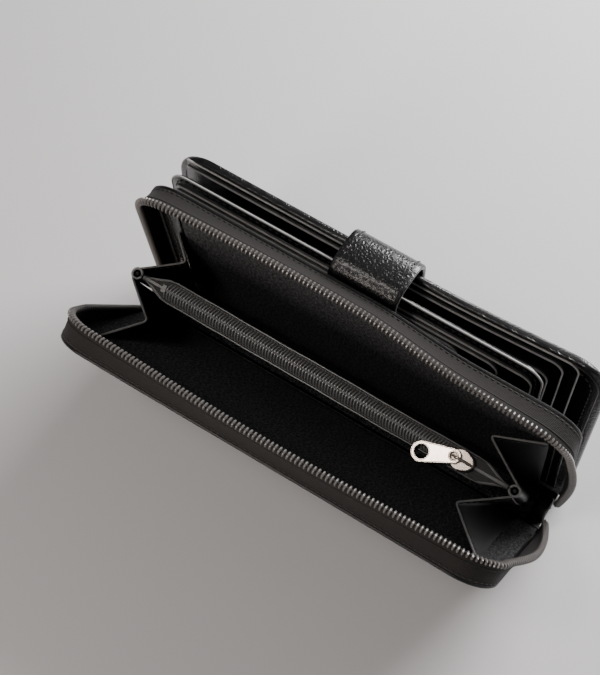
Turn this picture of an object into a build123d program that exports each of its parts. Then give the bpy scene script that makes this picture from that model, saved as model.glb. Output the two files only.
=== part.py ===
from build123d import *

import math
import os

# Long wallet with a zip-around compartment, a coin divider, a card page and a strapped cover.
# Millimetres. +X runs along the wallet, +Z is up, the unzipped front wall leans towards -Y.
# The origin is on the ground under the middle of the zip compartment's spine.

# Driving dimensions
LENGTH = 190.0
WALL_HEIGHT = 91.5
CORNER = 15.0
FRONT_LEAN = 39.6
MIDDLE_LEAN = 6.3
HINGE_Z = 3.4
FRONT_HINGE_Y = -10.5
MIDDLE_HINGE_Y = 9.5
LEATHER = 1.4
BOARD = 0.8
LINING = 0.6
SPINE_THICK = 1.2
SPINE_REAR_Y = 21.2

# Outer zip
RIM_DEPTH = 8.0
RIM_THICK = 1.0
RIM_START = 16.0
COIL_THICK = 2.4
COIL_DEPTH = 1.6

# Divider with the coin pocket
DIVIDER_X = -2.7
DIVIDER_FOOT_Y = -0.5
DIVIDER_LENGTH = 158.0
DIVIDER_LEAN = 21.8
DIVIDER_TOP = 58.5
DIVIDER_BOTTOM = 6.0
POCKET_HALF = 3.8
POCKET_FOOT = 1.6
POCKET_WALL = 0.8
LOOP_X = 84.7
LOOP_RADIUS = 2.5
LOOP_WALL = 0.9
LOOP_BOTTOM = 14.0
COIN_TAPE_WIDTH = 3.0
COIN_TAPE_THICK = 0.8
COIN_COIL_WIDTH = 3.0
COIN_COIL_HEIGHT = 1.4
COIN_SLIDER_X = 60.5
PULL_SWING = 21.5

# Gussets: top and foot heights of the folded end pieces
GUSSET_TOP = 60.0
GUSSET_FOOT = 6.0
GUSSET_THICK = 1.0
GUSSET_WALL_X = 89.0
FOLD_X = 69.5
FOLD_X_FOOT = 78.5
LOOP_GAP = 3.4

# Card page and rear cover
PAGE_Y = 13.2
PAGE_LEAN = 2.6
PAGE_THICK = 1.4
PAGE_FOOT = -1.6
PAGE_LEFT = -92.5
PAGE_RIGHT = 73.5
PAGE_HEIGHT = 85.6
LEAF_THICK = 0.6
COVER_INNER_Y = 18.4
COVER_TOP = 91.0
COVER_FOOT = 1.8
COVER_BACK_Y = COVER_INNER_Y + LINING + BOARD + LEATHER
PAGE_LEAVES = [(39.0, 72.0), (55.5, 74.5), (69.5, 77.5)]
COVER_LEAVES = [(72.5, 74.0), (77.0, 84.0), (82.5, 88.0)]

# Strap and snap
STRAP_X = -0.2
STRAP_WIDTH = 28.5
STRAP_THICK = 1.3
STRAP_LINING = 0.7
STRAP_FULL = STRAP_THICK + STRAP_LINING
STRAP_GAP = 1.3
STRAP_PEAK = 99.0
STRAP_ROOT_Z = 90.6
STRAP_TAIL_END = 52.0
STRAP_ANCHOR_LOW = 60.0
ANCHOR_GAP = 0.8
SNAP_HEIGHT = 64.0
STUD_HEIGHT = 0.9

os.makedirs("parts", exist_ok=True)


def save(name, shape):
    """Write one sub-part to its own file."""
    export_step(shape, f"parts/{name}.step")


def slab(x0, x1, y0, y1, z0, z1):
    """An upright block between two corners."""
    block = Box(x1 - x0, y1 - y0, z1 - z0, align=(Align.MIN, Align.MIN, Align.MIN))
    return Pos(x0, y0, z0) * block


def round_top(block, radius):
    """Round the two top corners seen along Y."""
    return fillet(block.edges().filter_by(Axis.Y).group_by(Axis.Z)[-1], radius)


def sheet(half, y0, y1, low, high, radius, middle=0.0):
    """A flat sheet with rounded top corners."""
    return round_top(slab(middle - half, middle + half, y0, y1, low, high), radius)


def arch(half, y0, y1, low, high, radius, thick):
    """A strip on edge that follows the two sides and the top of a wall."""
    outside = sheet(half, y0, y1, low, high, radius)
    inside = sheet(half - thick, y0 - 1, y1 + 1, low - 1, high - thick, radius - thick)
    return outside - inside


def lean(shape, hinge_y, angle):
    """Tip an upright shape forwards about a bottom edge."""
    return Pos(0, hinge_y, HINGE_Z) * Rot(angle, 0, 0) * shape


def ribbon(points, thick):
    """Outline of a folded strip seen from above."""
    left, right = [], []
    places = [Vector(x, y) for x, y in points]
    runs = [(b - a).normalized() for a, b in zip(places, places[1:])]
    for i, place in enumerate(places):
        before, after = runs[max(i - 1, 0)], runs[min(i, len(runs) - 1)]
        along = (before + after).normalized()
        side = Vector(-along.Y, along.X)
        reach = thick / 2 / side.dot(Vector(-after.Y, after.X))
        left.append(place + side * reach)
        right.append(place - side * reach)
    return [(place.X, place.Y) for place in left + right[::-1]]


def outline(points, height):
    """A closed flat outline lying at a height."""
    return make_face(Polyline(*[(x, y, height) for x, y in points], close=True))


def folded_gusset(top, foot):
    """A leather gusset half that narrows towards the spine."""
    upper = outline(ribbon(top, GUSSET_THICK), GUSSET_TOP)
    lower = outline(ribbon(foot, GUSSET_THICK), GUSSET_FOOT)
    return loft([lower, upper], ruled=True)


def outward(y, direction):
    """Distance from a wall's tape plane, counted towards the inside of the compartment."""
    return y * direction


def make_wall(direction, foot):
    """Leather, board and lining of one compartment wall, upright at its bottom edge."""
    half = LENGTH / 2
    inner = half - RIM_THICK - 0.1
    top = WALL_HEIGHT - RIM_THICK - 0.1

    def layer(near, far, width, low, high, radius):
        a, b = sorted((outward(near, direction), outward(far, direction)))
        return sheet(width, a, b, low, high, radius)

    leather = layer(-LEATHER, 0, half, foot, WALL_HEIGHT, CORNER)
    board = layer(0, BOARD, inner, 3.0, top, CORNER - RIM_THICK)
    lining = layer(BOARD, BOARD + LINING, inner, 1.0, top, CORNER - RIM_THICK)
    return leather, board, lining


def make_rim(direction):
    """Zip tape on edge round the wall, with its coil on the free edge."""
    half = LENGTH / 2
    a, b = sorted((0, outward(RIM_DEPTH, direction)))
    tape = arch(half, a, b, RIM_START, WALL_HEIGHT, CORNER, RIM_THICK)
    near, far = outward(RIM_DEPTH, direction), outward(RIM_DEPTH + COIL_DEPTH, direction)
    a, b = sorted((near, far))
    coil = arch(half, a, b, RIM_START, WALL_HEIGHT, CORNER, COIL_THICK)
    return tape, coil


def build_front_wall():
    """Front wall, unzipped and leaning forwards."""
    names = ("front_wall_leather", "front_wall_board", "front_wall_lining")
    for name, shape in zip(names, make_wall(1, -1.0)):
        save(name, lean(shape, FRONT_HINGE_Y, FRONT_LEAN))
    tape, coil = make_rim(1)
    save("front_zip_tape", lean(tape, FRONT_HINGE_Y, FRONT_LEAN))
    save("front_zip_coil", lean(coil, FRONT_HINGE_Y, FRONT_LEAN))


def build_middle_wall():
    """Wall between the zip compartment and the card section, with the strap sewn to its back."""
    names = ("middle_wall_leather", "middle_wall_board", "middle_wall_lining")
    for name, shape in zip(names, make_wall(-1, -1.6)):
        save(name, lean(shape, MIDDLE_HINGE_Y, MIDDLE_LEAN))
    tape, coil = make_rim(-1)
    save("rear_zip_tape", lean(tape, MIDDLE_HINGE_Y, MIDDLE_LEAN))
    save("rear_zip_coil", lean(coil, MIDDLE_HINGE_Y, MIDDLE_LEAN))


def build_spine():
    """Bottom strip under all walls, its cloth lining and the ends of the outer zip."""
    half = LENGTH / 2 - 2
    front = FRONT_HINGE_Y - 1.0
    strip = slab(-half, half, front, SPINE_REAR_Y, 0, SPINE_THICK)
    strip = fillet(strip.edges().filter_by(Axis.Z), 3.0)
    save("spine_leather", strip)
    lining = slab(-half + 6, half - 6, FRONT_HINGE_Y + 3, 5.5, SPINE_THICK, SPINE_THICK + 0.5)
    save("spine_lining", lining)
    tab = slab(LENGTH / 2 - 7, LENGTH / 2 - 1, -4.5, 2.5, SPINE_THICK, 13.5)
    save("zip_end_tab", fillet(tab.edges().filter_by(Axis.Y).group_by(Axis.Z)[-1], 2.5))


def build_outer_slider():
    """Slider of the outer zip, parked at the foot of the left end, and its pull tab."""
    x, y, z = -LENGTH / 2 + 3.2, -1.0, 7.2
    body = slab(x - 2.2, x + 2.2, y - 4.0, y + 4.0, SPINE_THICK, z + 5.5)
    save("outer_slider_body", fillet(body.edges().filter_by(Axis.X), 1.6))
    face, pin_x, pin_z = x - 2.2, x - 5.4, z + 1.0
    bail = slab(pin_x - 1.2, face, y - 1.2, y + 1.2, pin_z - 3.2, pin_z + 3.2)
    bail = fillet(bail.edges().filter_by(Axis.Y).group_by(Axis.X)[0], 1.1)
    bail -= Pos(pin_x, y, pin_z) * Rot(90, 0, 0) * Cylinder(0.6, 6)
    save("outer_slider_bail", bail)
    save("outer_pull_tab", make_outer_pull(pin_x, y, pin_z, -LENGTH / 2 - 0.5))


def make_outer_pull(pin_x, y, z, inner_x):
    """Flat pull standing against the wallet's left end, on a pin through the bail."""
    thick = 1.0
    pin = Pos(pin_x, y, z) * Rot(90, 0, 0) * Cylinder(0.55, 5.0)
    pull = pin
    for side in (-1, 1):
        low, high = sorted((y + side * 1.6, y + side * 2.6))
        pull += slab(pin_x - 0.8, pin_x + 0.8, low, high, z - 0.8, z + 6.0)
    plate = slab(inner_x - thick, inner_x, y - 3.2, y + 3.2, z + 4.6, z + 21.0)
    plate = fillet(plate.edges().filter_by(Axis.X).group_by(Axis.Z)[-1], 3.0)
    plate -= Pos(inner_x, y, z + 16.6) * Rot(0, 90, 0) * Cylinder(1.8, 4)
    return pull + plate


def divider_place(shape):
    """Tip a divider piece onto the divider's leaning plane."""
    return lean(shape, DIVIDER_FOOT_Y, DIVIDER_LEAN)


def build_divider():
    """Coin pocket walls with their rolled end loops."""
    flare = math.degrees(math.atan((POCKET_HALF - POCKET_FOOT) / (DIVIDER_TOP - DIVIDER_BOTTOM)))
    height = DIVIDER_TOP - DIVIDER_BOTTOM
    for name, side in (("coin_pocket_front_wall", 1), ("coin_pocket_rear_wall", -1)):
        low = -POCKET_WALL if side > 0 else 0
        wall = slab(-DIVIDER_LENGTH / 2, DIVIDER_LENGTH / 2, low, low + POCKET_WALL, 0, height)
        wall = Pos(DIVIDER_X, -side * POCKET_FOOT, DIVIDER_BOTTOM) * Rot(side * flare, 0, 0) * wall
        save(name, divider_place(wall))
    for name, side in (("left_end_loop", -1), ("right_end_loop", 1)):
        tube = Cylinder(LOOP_RADIUS, DIVIDER_TOP - LOOP_BOTTOM)
        tube -= Cylinder(LOOP_RADIUS - LOOP_WALL, DIVIDER_TOP)
        x = DIVIDER_X + side * (LOOP_X + 1.0)
        save(name, divider_place(Pos(x, 0, (DIVIDER_TOP + LOOP_BOTTOM) / 2) * tube))


def build_coin_zip():
    """Tapes, coil and stops of the coin pocket's zip."""
    top = DIVIDER_TOP + 0.5
    half = DIVIDER_LENGTH / 2 - 1
    coil_half = COIN_COIL_WIDTH / 2
    for name, side in (("coin_zip_front_tape", -1), ("coin_zip_rear_tape", 1)):
        a, b = sorted((side * coil_half, side * (coil_half + COIN_TAPE_WIDTH)))
        tape = slab(DIVIDER_X - half, DIVIDER_X + half, a, b, top, top + COIN_TAPE_THICK)
        save(name, divider_place(tape))
    left, right = DIVIDER_X - half + 6, DIVIDER_X + half - 14
    coil = slab(left, right, -coil_half, coil_half, top - 0.2, top - 0.2 + COIN_COIL_HEIGHT)
    save("coin_zip_coil", divider_place(coil))
    for name, x in (("coin_zip_bottom_stop", left - 1.6), ("coin_zip_top_stop", right)):
        stop = slab(x, x + 1.6, -coil_half, coil_half, top - 0.4, top + 1.4)
        save(name, divider_place(stop))


def build_coin_slider():
    """Slider of the coin zip: two plates, the bail on top and the pull tab in it."""
    top = DIVIDER_TOP + 0.5
    above = top - 0.2 + COIN_COIL_HEIGHT + 0.3
    upper = oval_plate(9.6, 8.4, 1.2, above)
    lower = oval_plate(9.6, 7.0, 1.0, top - 1.6)
    save("coin_slider_body", divider_place(Pos(COIN_SLIDER_X, 0, 0) * Compound([upper, lower])))
    deck = above + 1.2
    bail = slab(-3.6, 3.6, -0.6, 0.6, deck, deck + 3.2)
    bail = fillet(bail.edges().filter_by(Axis.Y).group_by(Axis.Z)[-1], 1.3)
    bail -= slab(-2.7, 2.7, -2, 2, deck - 0.1, deck + 2.4)
    save("coin_slider_bail", divider_place(Pos(COIN_SLIDER_X, 0, 0) * bail))
    tab = Pos(COIN_SLIDER_X - 3.15, 0, deck + 0.4) * Rot(0, 0, PULL_SWING) * make_coin_pull()
    save("coin_pull_tab", divider_place(tab))


def oval_plate(length, width, thick, z):
    """A flat plate with a rounded outline."""
    plate = slab(-length / 2, length / 2, -width / 2, width / 2, z, z + thick)
    return fillet(plate.edges().filter_by(Axis.Z), min(length, width) / 2 - 0.3)


def make_coin_pull():
    """Tapered pull with a small eye round the bail and a large hole at the free end."""
    hole = Pos(-12.4, 0, 0)
    outer = make_hull([*Circle(2.9).edges(), *(hole * Circle(4.2)).edges()])
    face = outer - hole * Circle(2.7) - Circle(1.75)
    return extrude(face, 1.0)


def build_gussets():
    """Folded end pieces between the walls and the divider, a rear and a front half each."""
    slope = math.tan(math.radians(DIVIDER_LEAN))
    top_y = DIVIDER_FOOT_Y - (GUSSET_TOP - HINGE_Z) * slope
    foot_y = DIVIDER_FOOT_Y - (GUSSET_FOOT - HINGE_Z) * slope
    for name, side in (("left", -1), ("right", 1)):
        loop = DIVIDER_X + side * (LOOP_X + 1.0)
        fold, foot_fold = DIVIDER_X + side * FOLD_X, DIVIDER_X + side * FOLD_X_FOOT
        wall = side * GUSSET_WALL_X
        rear_top = [(wall, 0.2), (fold, -8.0), (loop, top_y + LOOP_GAP)]
        rear_foot = [(wall, 6.4), (foot_fold, 4.4), (loop, foot_y + LOOP_GAP)]
        save(f"gusset_{name}_rear", folded_gusset(rear_top, rear_foot))
        front_top = [(wall, -53.0), (fold, -38.5), (loop, top_y - LOOP_GAP)]
        front_foot = [(wall, -9.6), (foot_fold, -7.2), (loop, foot_y - LOOP_GAP)]
        save(f"gusset_{name}_front", folded_gusset(front_top, front_foot))


def build_card_page():
    """Card page hinged at the spine, with stepped side-entry pocket leaves in front."""
    middle = (PAGE_LEFT + PAGE_RIGHT) / 2
    half = (PAGE_RIGHT - PAGE_LEFT) / 2
    page = sheet(half, 0, PAGE_THICK, PAGE_FOOT, PAGE_HEIGHT, 8.0, middle)
    save("card_page", lean(page, PAGE_Y, PAGE_LEAN))
    for i, (right, top) in enumerate(PAGE_LEAVES):
        near = -LEAF_THICK * (len(PAGE_LEAVES) - i)
        leaf = slab(PAGE_LEFT + 3, right, near, near + LEAF_THICK, PAGE_FOOT + 3, top)
        save(f"page_leaf_{i + 1}", lean(round_right_corner(leaf, 5.0), PAGE_Y, PAGE_LEAN))


def round_right_corner(leaf, radius):
    """Round only the upper corner at the pocket's mouth."""
    edge = leaf.edges().filter_by(Axis.Y).group_by(Axis.Z)[-1].sort_by(Axis.X)[-1]
    return fillet(edge, radius)


def disc(radius, y0, y1):
    """A round plate facing along Y at the snap."""
    return Pos(STRAP_X, (y0 + y1) / 2, SNAP_HEIGHT) * Rot(90, 0, 0) * Cylinder(radius, y1 - y0)


def build_rear_cover():
    """Rear cover: pebbled leather, board, lining and stepped pocket leaves inside."""
    half = LENGTH / 2
    board_y = COVER_INNER_Y + LINING
    leather_y = board_y + BOARD
    low, high = COVER_FOOT + 2, COVER_TOP - 2
    post_hole = disc(1.6, board_y - 1, COVER_BACK_Y + 1)
    lining = sheet(half - 2, COVER_INNER_Y, board_y, low, high, CORNER - 2)
    board = sheet(half - 2, board_y, leather_y, low, high, CORNER - 2)
    leather = sheet(half, leather_y, COVER_BACK_Y, COVER_FOOT, COVER_TOP, CORNER)
    save("rear_cover_lining", lining)
    save("rear_cover_board", board - post_hole - disc(4.7, board_y - 1, board_y + 0.55))
    save("rear_cover_leather", leather - post_hole)
    save("snap_post", disc(4.4, board_y, board_y + 0.5) + disc(1.4, board_y + 0.4, COVER_BACK_Y))
    stud_plate = disc(5.0, COVER_BACK_Y, COVER_BACK_Y + 0.4)
    save("snap_stud", stud_plate + disc(1.8, COVER_BACK_Y + 0.3, COVER_BACK_Y + STUD_HEIGHT))
    for i, (right, top) in enumerate(COVER_LEAVES):
        near = COVER_INNER_Y - LEAF_THICK * (len(COVER_LEAVES) - i)
        leaf = slab(-half + 5, right, near, near + LEAF_THICK, COVER_FOOT + 3, top)
        save(f"cover_leaf_{i + 1}", round_right_corner(leaf, 5.0))


def strap_line(offset):
    """Side view of the strap's free part, offset outwards from its inner face."""
    slope = math.tan(math.radians(MIDDLE_LEAN))
    root_y = MIDDLE_HINGE_Y - (STRAP_ROOT_Z - HINGE_Z) * slope + LEATHER + STRAP_FULL
    back_y = COVER_BACK_Y + STRAP_GAP
    peak = STRAP_PEAK - STRAP_FULL
    return [
        (root_y - offset, STRAP_ROOT_Z),
        (root_y + 0.8 - 0.8 * offset, STRAP_ROOT_Z + 3.6 + 0.5 * offset),
        (root_y + 4.2 - 0.3 * offset, peak - 0.6 + 0.9 * offset),
        (root_y + 8.0, peak + offset),
        (back_y - 6.0 + 0.1 * offset, peak - 0.2 + offset),
        (back_y - 1.6 + 0.7 * offset, peak - 3.0 + 0.7 * offset),
        (back_y + offset, COVER_TOP - 0.5),
        (back_y + offset, STRAP_TAIL_END),
    ]


def strap_layer(near, far):
    """One leather layer of the strap's free part."""
    points = strap_line(far) + strap_line(near)[::-1]
    side_view = Plane.YZ.offset(STRAP_X - STRAP_WIDTH / 2) * Polygon(*points, align=None)
    strip = extrude(side_view, STRAP_WIDTH, dir=(1, 0, 0))
    return fillet(strip.edges().filter_by(Axis.Y).group_by(Axis.Z)[0], 9.0)


def build_strap():
    """Strap sewn behind the middle wall, over the top and snapped on the cover's back."""
    inner = COVER_BACK_Y + STRAP_GAP
    outer = inner + STRAP_FULL
    hole = disc(1.6, inner - 1, outer + 1)
    save("strap_lining", strap_layer(0, STRAP_LINING) - hole)
    save("strap_outer", strap_layer(STRAP_LINING, STRAP_FULL) - hole)
    half = STRAP_WIDTH / 2
    top = (STRAP_ROOT_Z - ANCHOR_GAP - HINGE_Z) / math.cos(math.radians(MIDDLE_LEAN))
    anchor = slab(STRAP_X - half, STRAP_X + half, LEATHER, LEATHER + STRAP_FULL, STRAP_ANCHOR_LOW, top)
    anchor = fillet(anchor.edges().filter_by(Axis.Y).group_by(Axis.Z)[0], 6.0)
    save("strap_anchor", lean(anchor, MIDDLE_HINGE_Y, MIDDLE_LEAN))
    save("snap_cap", disc(5.5, outer, outer + 0.8) + disc(1.3, inner + 0.05, outer + 0.1))
    save("snap_socket", disc(4.6, inner - 0.3, inner) - disc(2.2, inner - 1, inner))


def main():
    """Build every sub-part."""
    build_spine()
    build_middle_wall()
    build_front_wall()
    build_outer_slider()
    build_divider()
    build_coin_zip()
    build_coin_slider()
    build_gussets()
    build_card_page()
    build_rear_cover()
    build_strap()


main()
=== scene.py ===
import math

import bpy
import numpy as np
from mathutils import Matrix, Vector


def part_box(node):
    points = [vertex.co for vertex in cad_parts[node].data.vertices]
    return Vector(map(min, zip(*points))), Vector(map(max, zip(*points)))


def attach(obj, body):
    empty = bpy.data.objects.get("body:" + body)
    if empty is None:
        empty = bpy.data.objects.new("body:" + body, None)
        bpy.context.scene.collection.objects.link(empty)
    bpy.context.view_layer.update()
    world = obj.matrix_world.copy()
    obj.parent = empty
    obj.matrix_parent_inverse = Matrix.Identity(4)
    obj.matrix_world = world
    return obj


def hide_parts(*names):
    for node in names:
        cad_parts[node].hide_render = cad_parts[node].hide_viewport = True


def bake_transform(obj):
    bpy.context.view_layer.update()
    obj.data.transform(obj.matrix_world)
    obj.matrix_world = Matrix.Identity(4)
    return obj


# Looks of a black leather long wallet: pebbled and smooth leather, charcoal cloth lining,
# woven zip tapes with nylon coils, and pale rose-gold metal. Shapes are laid out in
# millimetres in each panel's own upright frame, then placed and scaled to the frame's metres.

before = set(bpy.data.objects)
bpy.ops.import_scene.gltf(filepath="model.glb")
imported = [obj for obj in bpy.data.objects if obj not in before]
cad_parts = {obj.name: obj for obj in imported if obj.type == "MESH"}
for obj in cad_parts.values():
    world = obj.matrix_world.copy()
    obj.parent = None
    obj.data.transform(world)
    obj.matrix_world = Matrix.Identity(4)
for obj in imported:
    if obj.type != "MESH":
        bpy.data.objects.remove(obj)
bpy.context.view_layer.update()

MM = 0.001
LENGTH = 190.0
WALL_HEIGHT = 91.5
CORNER = 15.0
HINGE_Z = 3.4
FRONT_HINGE_Y = -10.5
FRONT_LEAN = 39.6
MIDDLE_HINGE_Y = 9.5
MIDDLE_LEAN = 6.3
LEATHER = 1.4
LINING_FACE = 1.4
RIM_START = 10.0
TOOTH_PITCH = 1.8

DIVIDER_X = -2.7
DIVIDER_FOOT_Y = -0.5
DIVIDER_LEAN = 21.8
DIVIDER_HALF = 79.0
DIVIDER_TOP = 58.5
DIVIDER_FOOT = 6.0
LOOP_REACH = 85.7
COIN_PITCH = 1.3
SLIDER_X = 60.5
PULL_SWING = 21.5
PULL_DIP = 5.0

PAGE_Y = 13.2
PAGE_LEAN = 2.6
PAGE_LEFT = -92.5
PAGE_RIGHT = 73.5
PAGE_HEIGHT = 85.6
LEAF_THICK = 0.6
PAGE_LEAVES = [(39.0, 72.0), (55.5, 74.5), (69.5, 77.5)]
COVER_LEAVES = [(72.5, 74.0), (77.0, 84.0), (82.5, 88.0)]
COVER_INNER_Y = 18.4
COVER_BACK_Y = 21.2
COVER_FOOT = 1.8
COVER_TOP = 91.0

STRAP_X = -0.2
STRAP_HALF = 14.25
STRAP_ROOT_Z = 90.6
STRAP_FULL = 2.0
SNAP_HEIGHT = 64.0


# ---------------------------------------------------------------- frames and meshes

def leaning(hinge_y, angle):
    """Placement of a panel that stands on its hinge line and leans forwards."""
    return Matrix.Translation((0, hinge_y, HINGE_Z)) @ Matrix.Rotation(math.radians(angle), 4, "X")


UPRIGHT = Matrix.Identity(4)
FRONT = leaning(FRONT_HINGE_Y, FRONT_LEAN)
MIDDLE = leaning(MIDDLE_HINGE_Y, MIDDLE_LEAN)
DIVIDER = leaning(DIVIDER_FOOT_Y, DIVIDER_LEAN)
PAGE = leaning(PAGE_Y, PAGE_LEAN)


def unit(vectors):
    """Vectors scaled to length one."""
    length = np.linalg.norm(vectors, axis=-1, keepdims=True)
    return vectors / np.maximum(length, 1e-9)


def make(name, shape, material, body, place=UPRIGHT, stands_for=(), bend=None, sharp=40):
    """A piece from (points in mm, faces, map coordinates in mm), placed and riding on a body."""
    points, faces, grain = shape
    if bend:
        points = bend(np.array(points, float))
    mesh = bpy.data.meshes.new(name)
    turned = np.asarray(points, float) @ np.array(place.to_3x3()).T + np.array(place.translation)
    mesh.from_pydata([tuple(p) for p in turned * MM], [], faces)
    if grain is not None:
        layer = mesh.uv_layers.new(name="grain")
        index = np.zeros(len(mesh.loops), int)
        mesh.loops.foreach_get("vertex_index", index)
        layer.data.foreach_set("uv", np.asarray(grain, float)[index].ravel())
    mesh.polygons.foreach_set("use_smooth", [True] * len(mesh.polygons))
    mesh.set_sharp_from_angle(angle=math.radians(sharp))
    mesh.materials.append(material)
    piece = bpy.data.objects.new(name, mesh)
    bpy.context.scene.collection.objects.link(piece)
    if body:
        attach(piece, body)
    if stands_for:
        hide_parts(*stands_for)
    return piece


def join(shapes):
    """Several (points, faces, map) shapes as one."""
    points, faces, grain = [], [], []
    for p, f, g in shapes:
        start = len(points)
        points.extend(np.asarray(p, float).tolist())
        faces.extend([tuple(i + start for i in face) for face in f])
        grain.extend(np.asarray(g, float).tolist())
    return points, faces, grain


def thick(middle, thickness):
    """A closed sheet with rounded edges around a grid of points (rows, columns, 3)."""
    middle = np.asarray(middle, float)
    rows, columns, _ = middle.shape
    run = unit(np.gradient(middle, axis=0))
    side = unit(np.gradient(middle, axis=1))
    normal = unit(np.cross(run, side))
    along = np.concatenate([np.zeros((1, columns)), np.cumsum(
        np.linalg.norm(np.diff(middle, axis=0), axis=2), axis=0)])
    across = np.concatenate([np.zeros((rows, 1)), np.cumsum(
        np.linalg.norm(np.diff(middle, axis=1), axis=2), axis=1)], axis=1)
    half = thickness / 2
    bend = [math.radians(a) for a in (75, 45)]
    layout = [(0, -math.sin(a), math.cos(a)) for a in bend]
    layout += [(i, 0.0, 1.0) for i in range(rows)]
    layout += [(rows - 1, math.sin(a), math.cos(a)) for a in bend[::-1]]
    rounding = [math.radians(a) for a in (45, 90, 135)]
    points, grain = [], []
    for i, shift, share in layout:
        centre = middle[i] + run[i] * half * shift
        up = normal[i] * half * share
        out = half * share
        ring = [centre + up]
        ring += [[centre[-1] + side[i, -1] * out * math.sin(a) + up[-1] * math.cos(a)] for a in rounding]
        ring += [(centre - up)[::-1]]
        ring += [[centre[0] - side[i, 0] * out * math.sin(a) - up[0] * math.cos(a)] for a in rounding]
        points.extend(np.concatenate(ring).tolist())
        own = np.stack([along[i], across[i]], axis=1)
        map_ring = [own] + [own[-1:]] * 3 + [own[::-1]] + [own[:1]] * 3
        grain.extend(np.concatenate(map_ring).tolist())
    size = 2 * columns + 6
    faces = []
    for r in range(len(layout) - 1):
        for k in range(size):
            n = (k + 1) % size
            faces.append((r * size + k, r * size + n, (r + 1) * size + n, (r + 1) * size + k))
    for start, flip in ((0, False), ((len(layout) - 1) * size, True)):
        lid = []
        back = 2 * columns + 2
        for j in range(columns - 1):
            lid.append((start + j, start + back - j, start + back - j - 1, start + j + 1))
        lid.append(tuple(start + columns - 1 + k for k in range(5))[::-1])
        lid.append((start, start + size - 1, start + size - 2, start + size - 3, start + back))
        faces.extend([face[::-1] if not flip else face for face in lid])
    return points, faces, grain


def sweep(path, radius, sides=8, flat=1.0, up=(0, 0, 1), closed=False, ends=True):
    """A tube along a path, rounded at its ends. flat squeezes it along the up direction."""
    path = np.asarray(path, float)
    count = len(path)
    if closed:
        tangent = unit(np.roll(path, -1, axis=0) - np.roll(path, 1, axis=0))
    else:
        tangent = unit(np.gradient(path, axis=0))
    reference = np.tile(np.asarray(up, float), (count, 1)) if np.ndim(up) == 1 else np.asarray(up, float)
    side = unit(np.cross(reference, tangent))
    top = np.cross(tangent, side)
    length = np.concatenate([[0], np.cumsum(np.linalg.norm(np.diff(path, axis=0), axis=1))])
    layout = [(i, 0.0, 1.0) for i in range(count)]
    if ends and not closed:
        layout = [(0, -0.8, 0.5)] + layout + [(count - 1, 0.8, 0.5)]
    points, grain = [], []
    for i, shift, share in layout:
        for k in range(sides):
            a = 2 * math.pi * (k + 0.5) / sides
            offset = side[i] * math.cos(a) + top[i] * math.sin(a) * flat
            points.append(path[i] + tangent[i] * shift * radius + offset * radius * share)
            grain.append((length[i], a * radius))
    faces = []
    rings = len(layout)
    for r in range(rings if closed else rings - 1):
        for k in range(sides):
            n = (k + 1) % sides
            after = (r + 1) % rings
            faces.append((r * sides + k, r * sides + n, after * sides + n, after * sides + k))
    if not closed:
        faces.append(tuple(range(sides))[::-1])
        faces.append(tuple((rings - 1) * sides + k for k in range(sides)))
    return points, faces, grain


def spline(points, count):
    """A smooth line of evenly spaced points through a few given ones."""
    points = np.asarray(points, float)
    padded = np.vstack([2 * points[0] - points[1], points, 2 * points[-1] - points[-2]])
    fine = []
    for i in range(1, len(padded) - 2):
        a, b, c, d = padded[i - 1:i + 3]
        for t in np.linspace(0, 1, 24, endpoint=False):
            fine.append(0.5 * (2 * b + (c - a) * t + (2 * a - 5 * b + 4 * c - d) * t ** 2
                               + (3 * b - a - 3 * c + d) * t ** 3))
    fine.append(points[-1])
    fine = np.array(fine)
    length = np.concatenate([[0], np.cumsum(np.linalg.norm(np.diff(fine, axis=0), axis=1))])
    even = np.linspace(0, length[-1], count)
    return np.stack([np.interp(even, length, fine[:, k]) for k in range(fine.shape[1])], axis=1)


def stitches(path, facing, spacing=3.0, share=0.68, radius=0.28):
    """A row of sewn stitches along a line, each one dipping into the leather at its ends."""
    path = np.asarray(path, float)
    facing = np.tile(np.asarray(facing, float), (len(path), 1)) if np.ndim(facing) == 1 else facing
    length = np.concatenate([[0], np.cumsum(np.linalg.norm(np.diff(path, axis=0), axis=1))])
    shapes = []
    for start in np.arange(spacing * 0.3, length[-1] - spacing * share, spacing):
        at = np.linspace(start, start + spacing * share, 5)
        line = np.stack([np.interp(at, length, path[:, k]) for k in range(3)], axis=1)
        out = unit(np.stack([np.interp(at, length, facing[:, k]) for k in range(3)], axis=1))
        rise = np.array([-0.35, 0.12, 0.22, 0.12, -0.35])[:, None] * radius / 0.28
        shapes.append(sweep(line + out * rise, radius, 6, up=out))
    return join(shapes)


def plate(outlines, thickness, bevel):
    """A flat plate with rounded edges, from an outline and its holes, lying in XY round z 0."""
    curve = bpy.data.curves.new("plate", "CURVE")
    curve.dimensions = "2D"
    curve.fill_mode = "BOTH"
    curve.extrude = thickness / 2 - bevel
    curve.bevel_depth = bevel
    curve.bevel_resolution = 3
    curve.offset = -bevel
    for outline in outlines:
        line = curve.splines.new("POLY")
        line.points.add(len(outline) - 1)
        for point, (x, y) in zip(line.points, outline):
            point.co = (x, y, 0, 1)
        line.use_cyclic_u = True
    holder = bpy.data.objects.new("plate", curve)
    bpy.context.scene.collection.objects.link(holder)
    bpy.context.view_layer.update()
    mesh = bpy.data.meshes.new_from_object(holder.evaluated_get(bpy.context.evaluated_depsgraph_get()))
    points = [tuple(v.co) for v in mesh.vertices]
    faces = [tuple(p.vertices) for p in mesh.polygons]
    bpy.data.objects.remove(holder)
    bpy.data.curves.remove(curve)
    bpy.data.meshes.remove(mesh)
    return points, faces, [(p[0], p[1]) for p in points]


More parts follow.
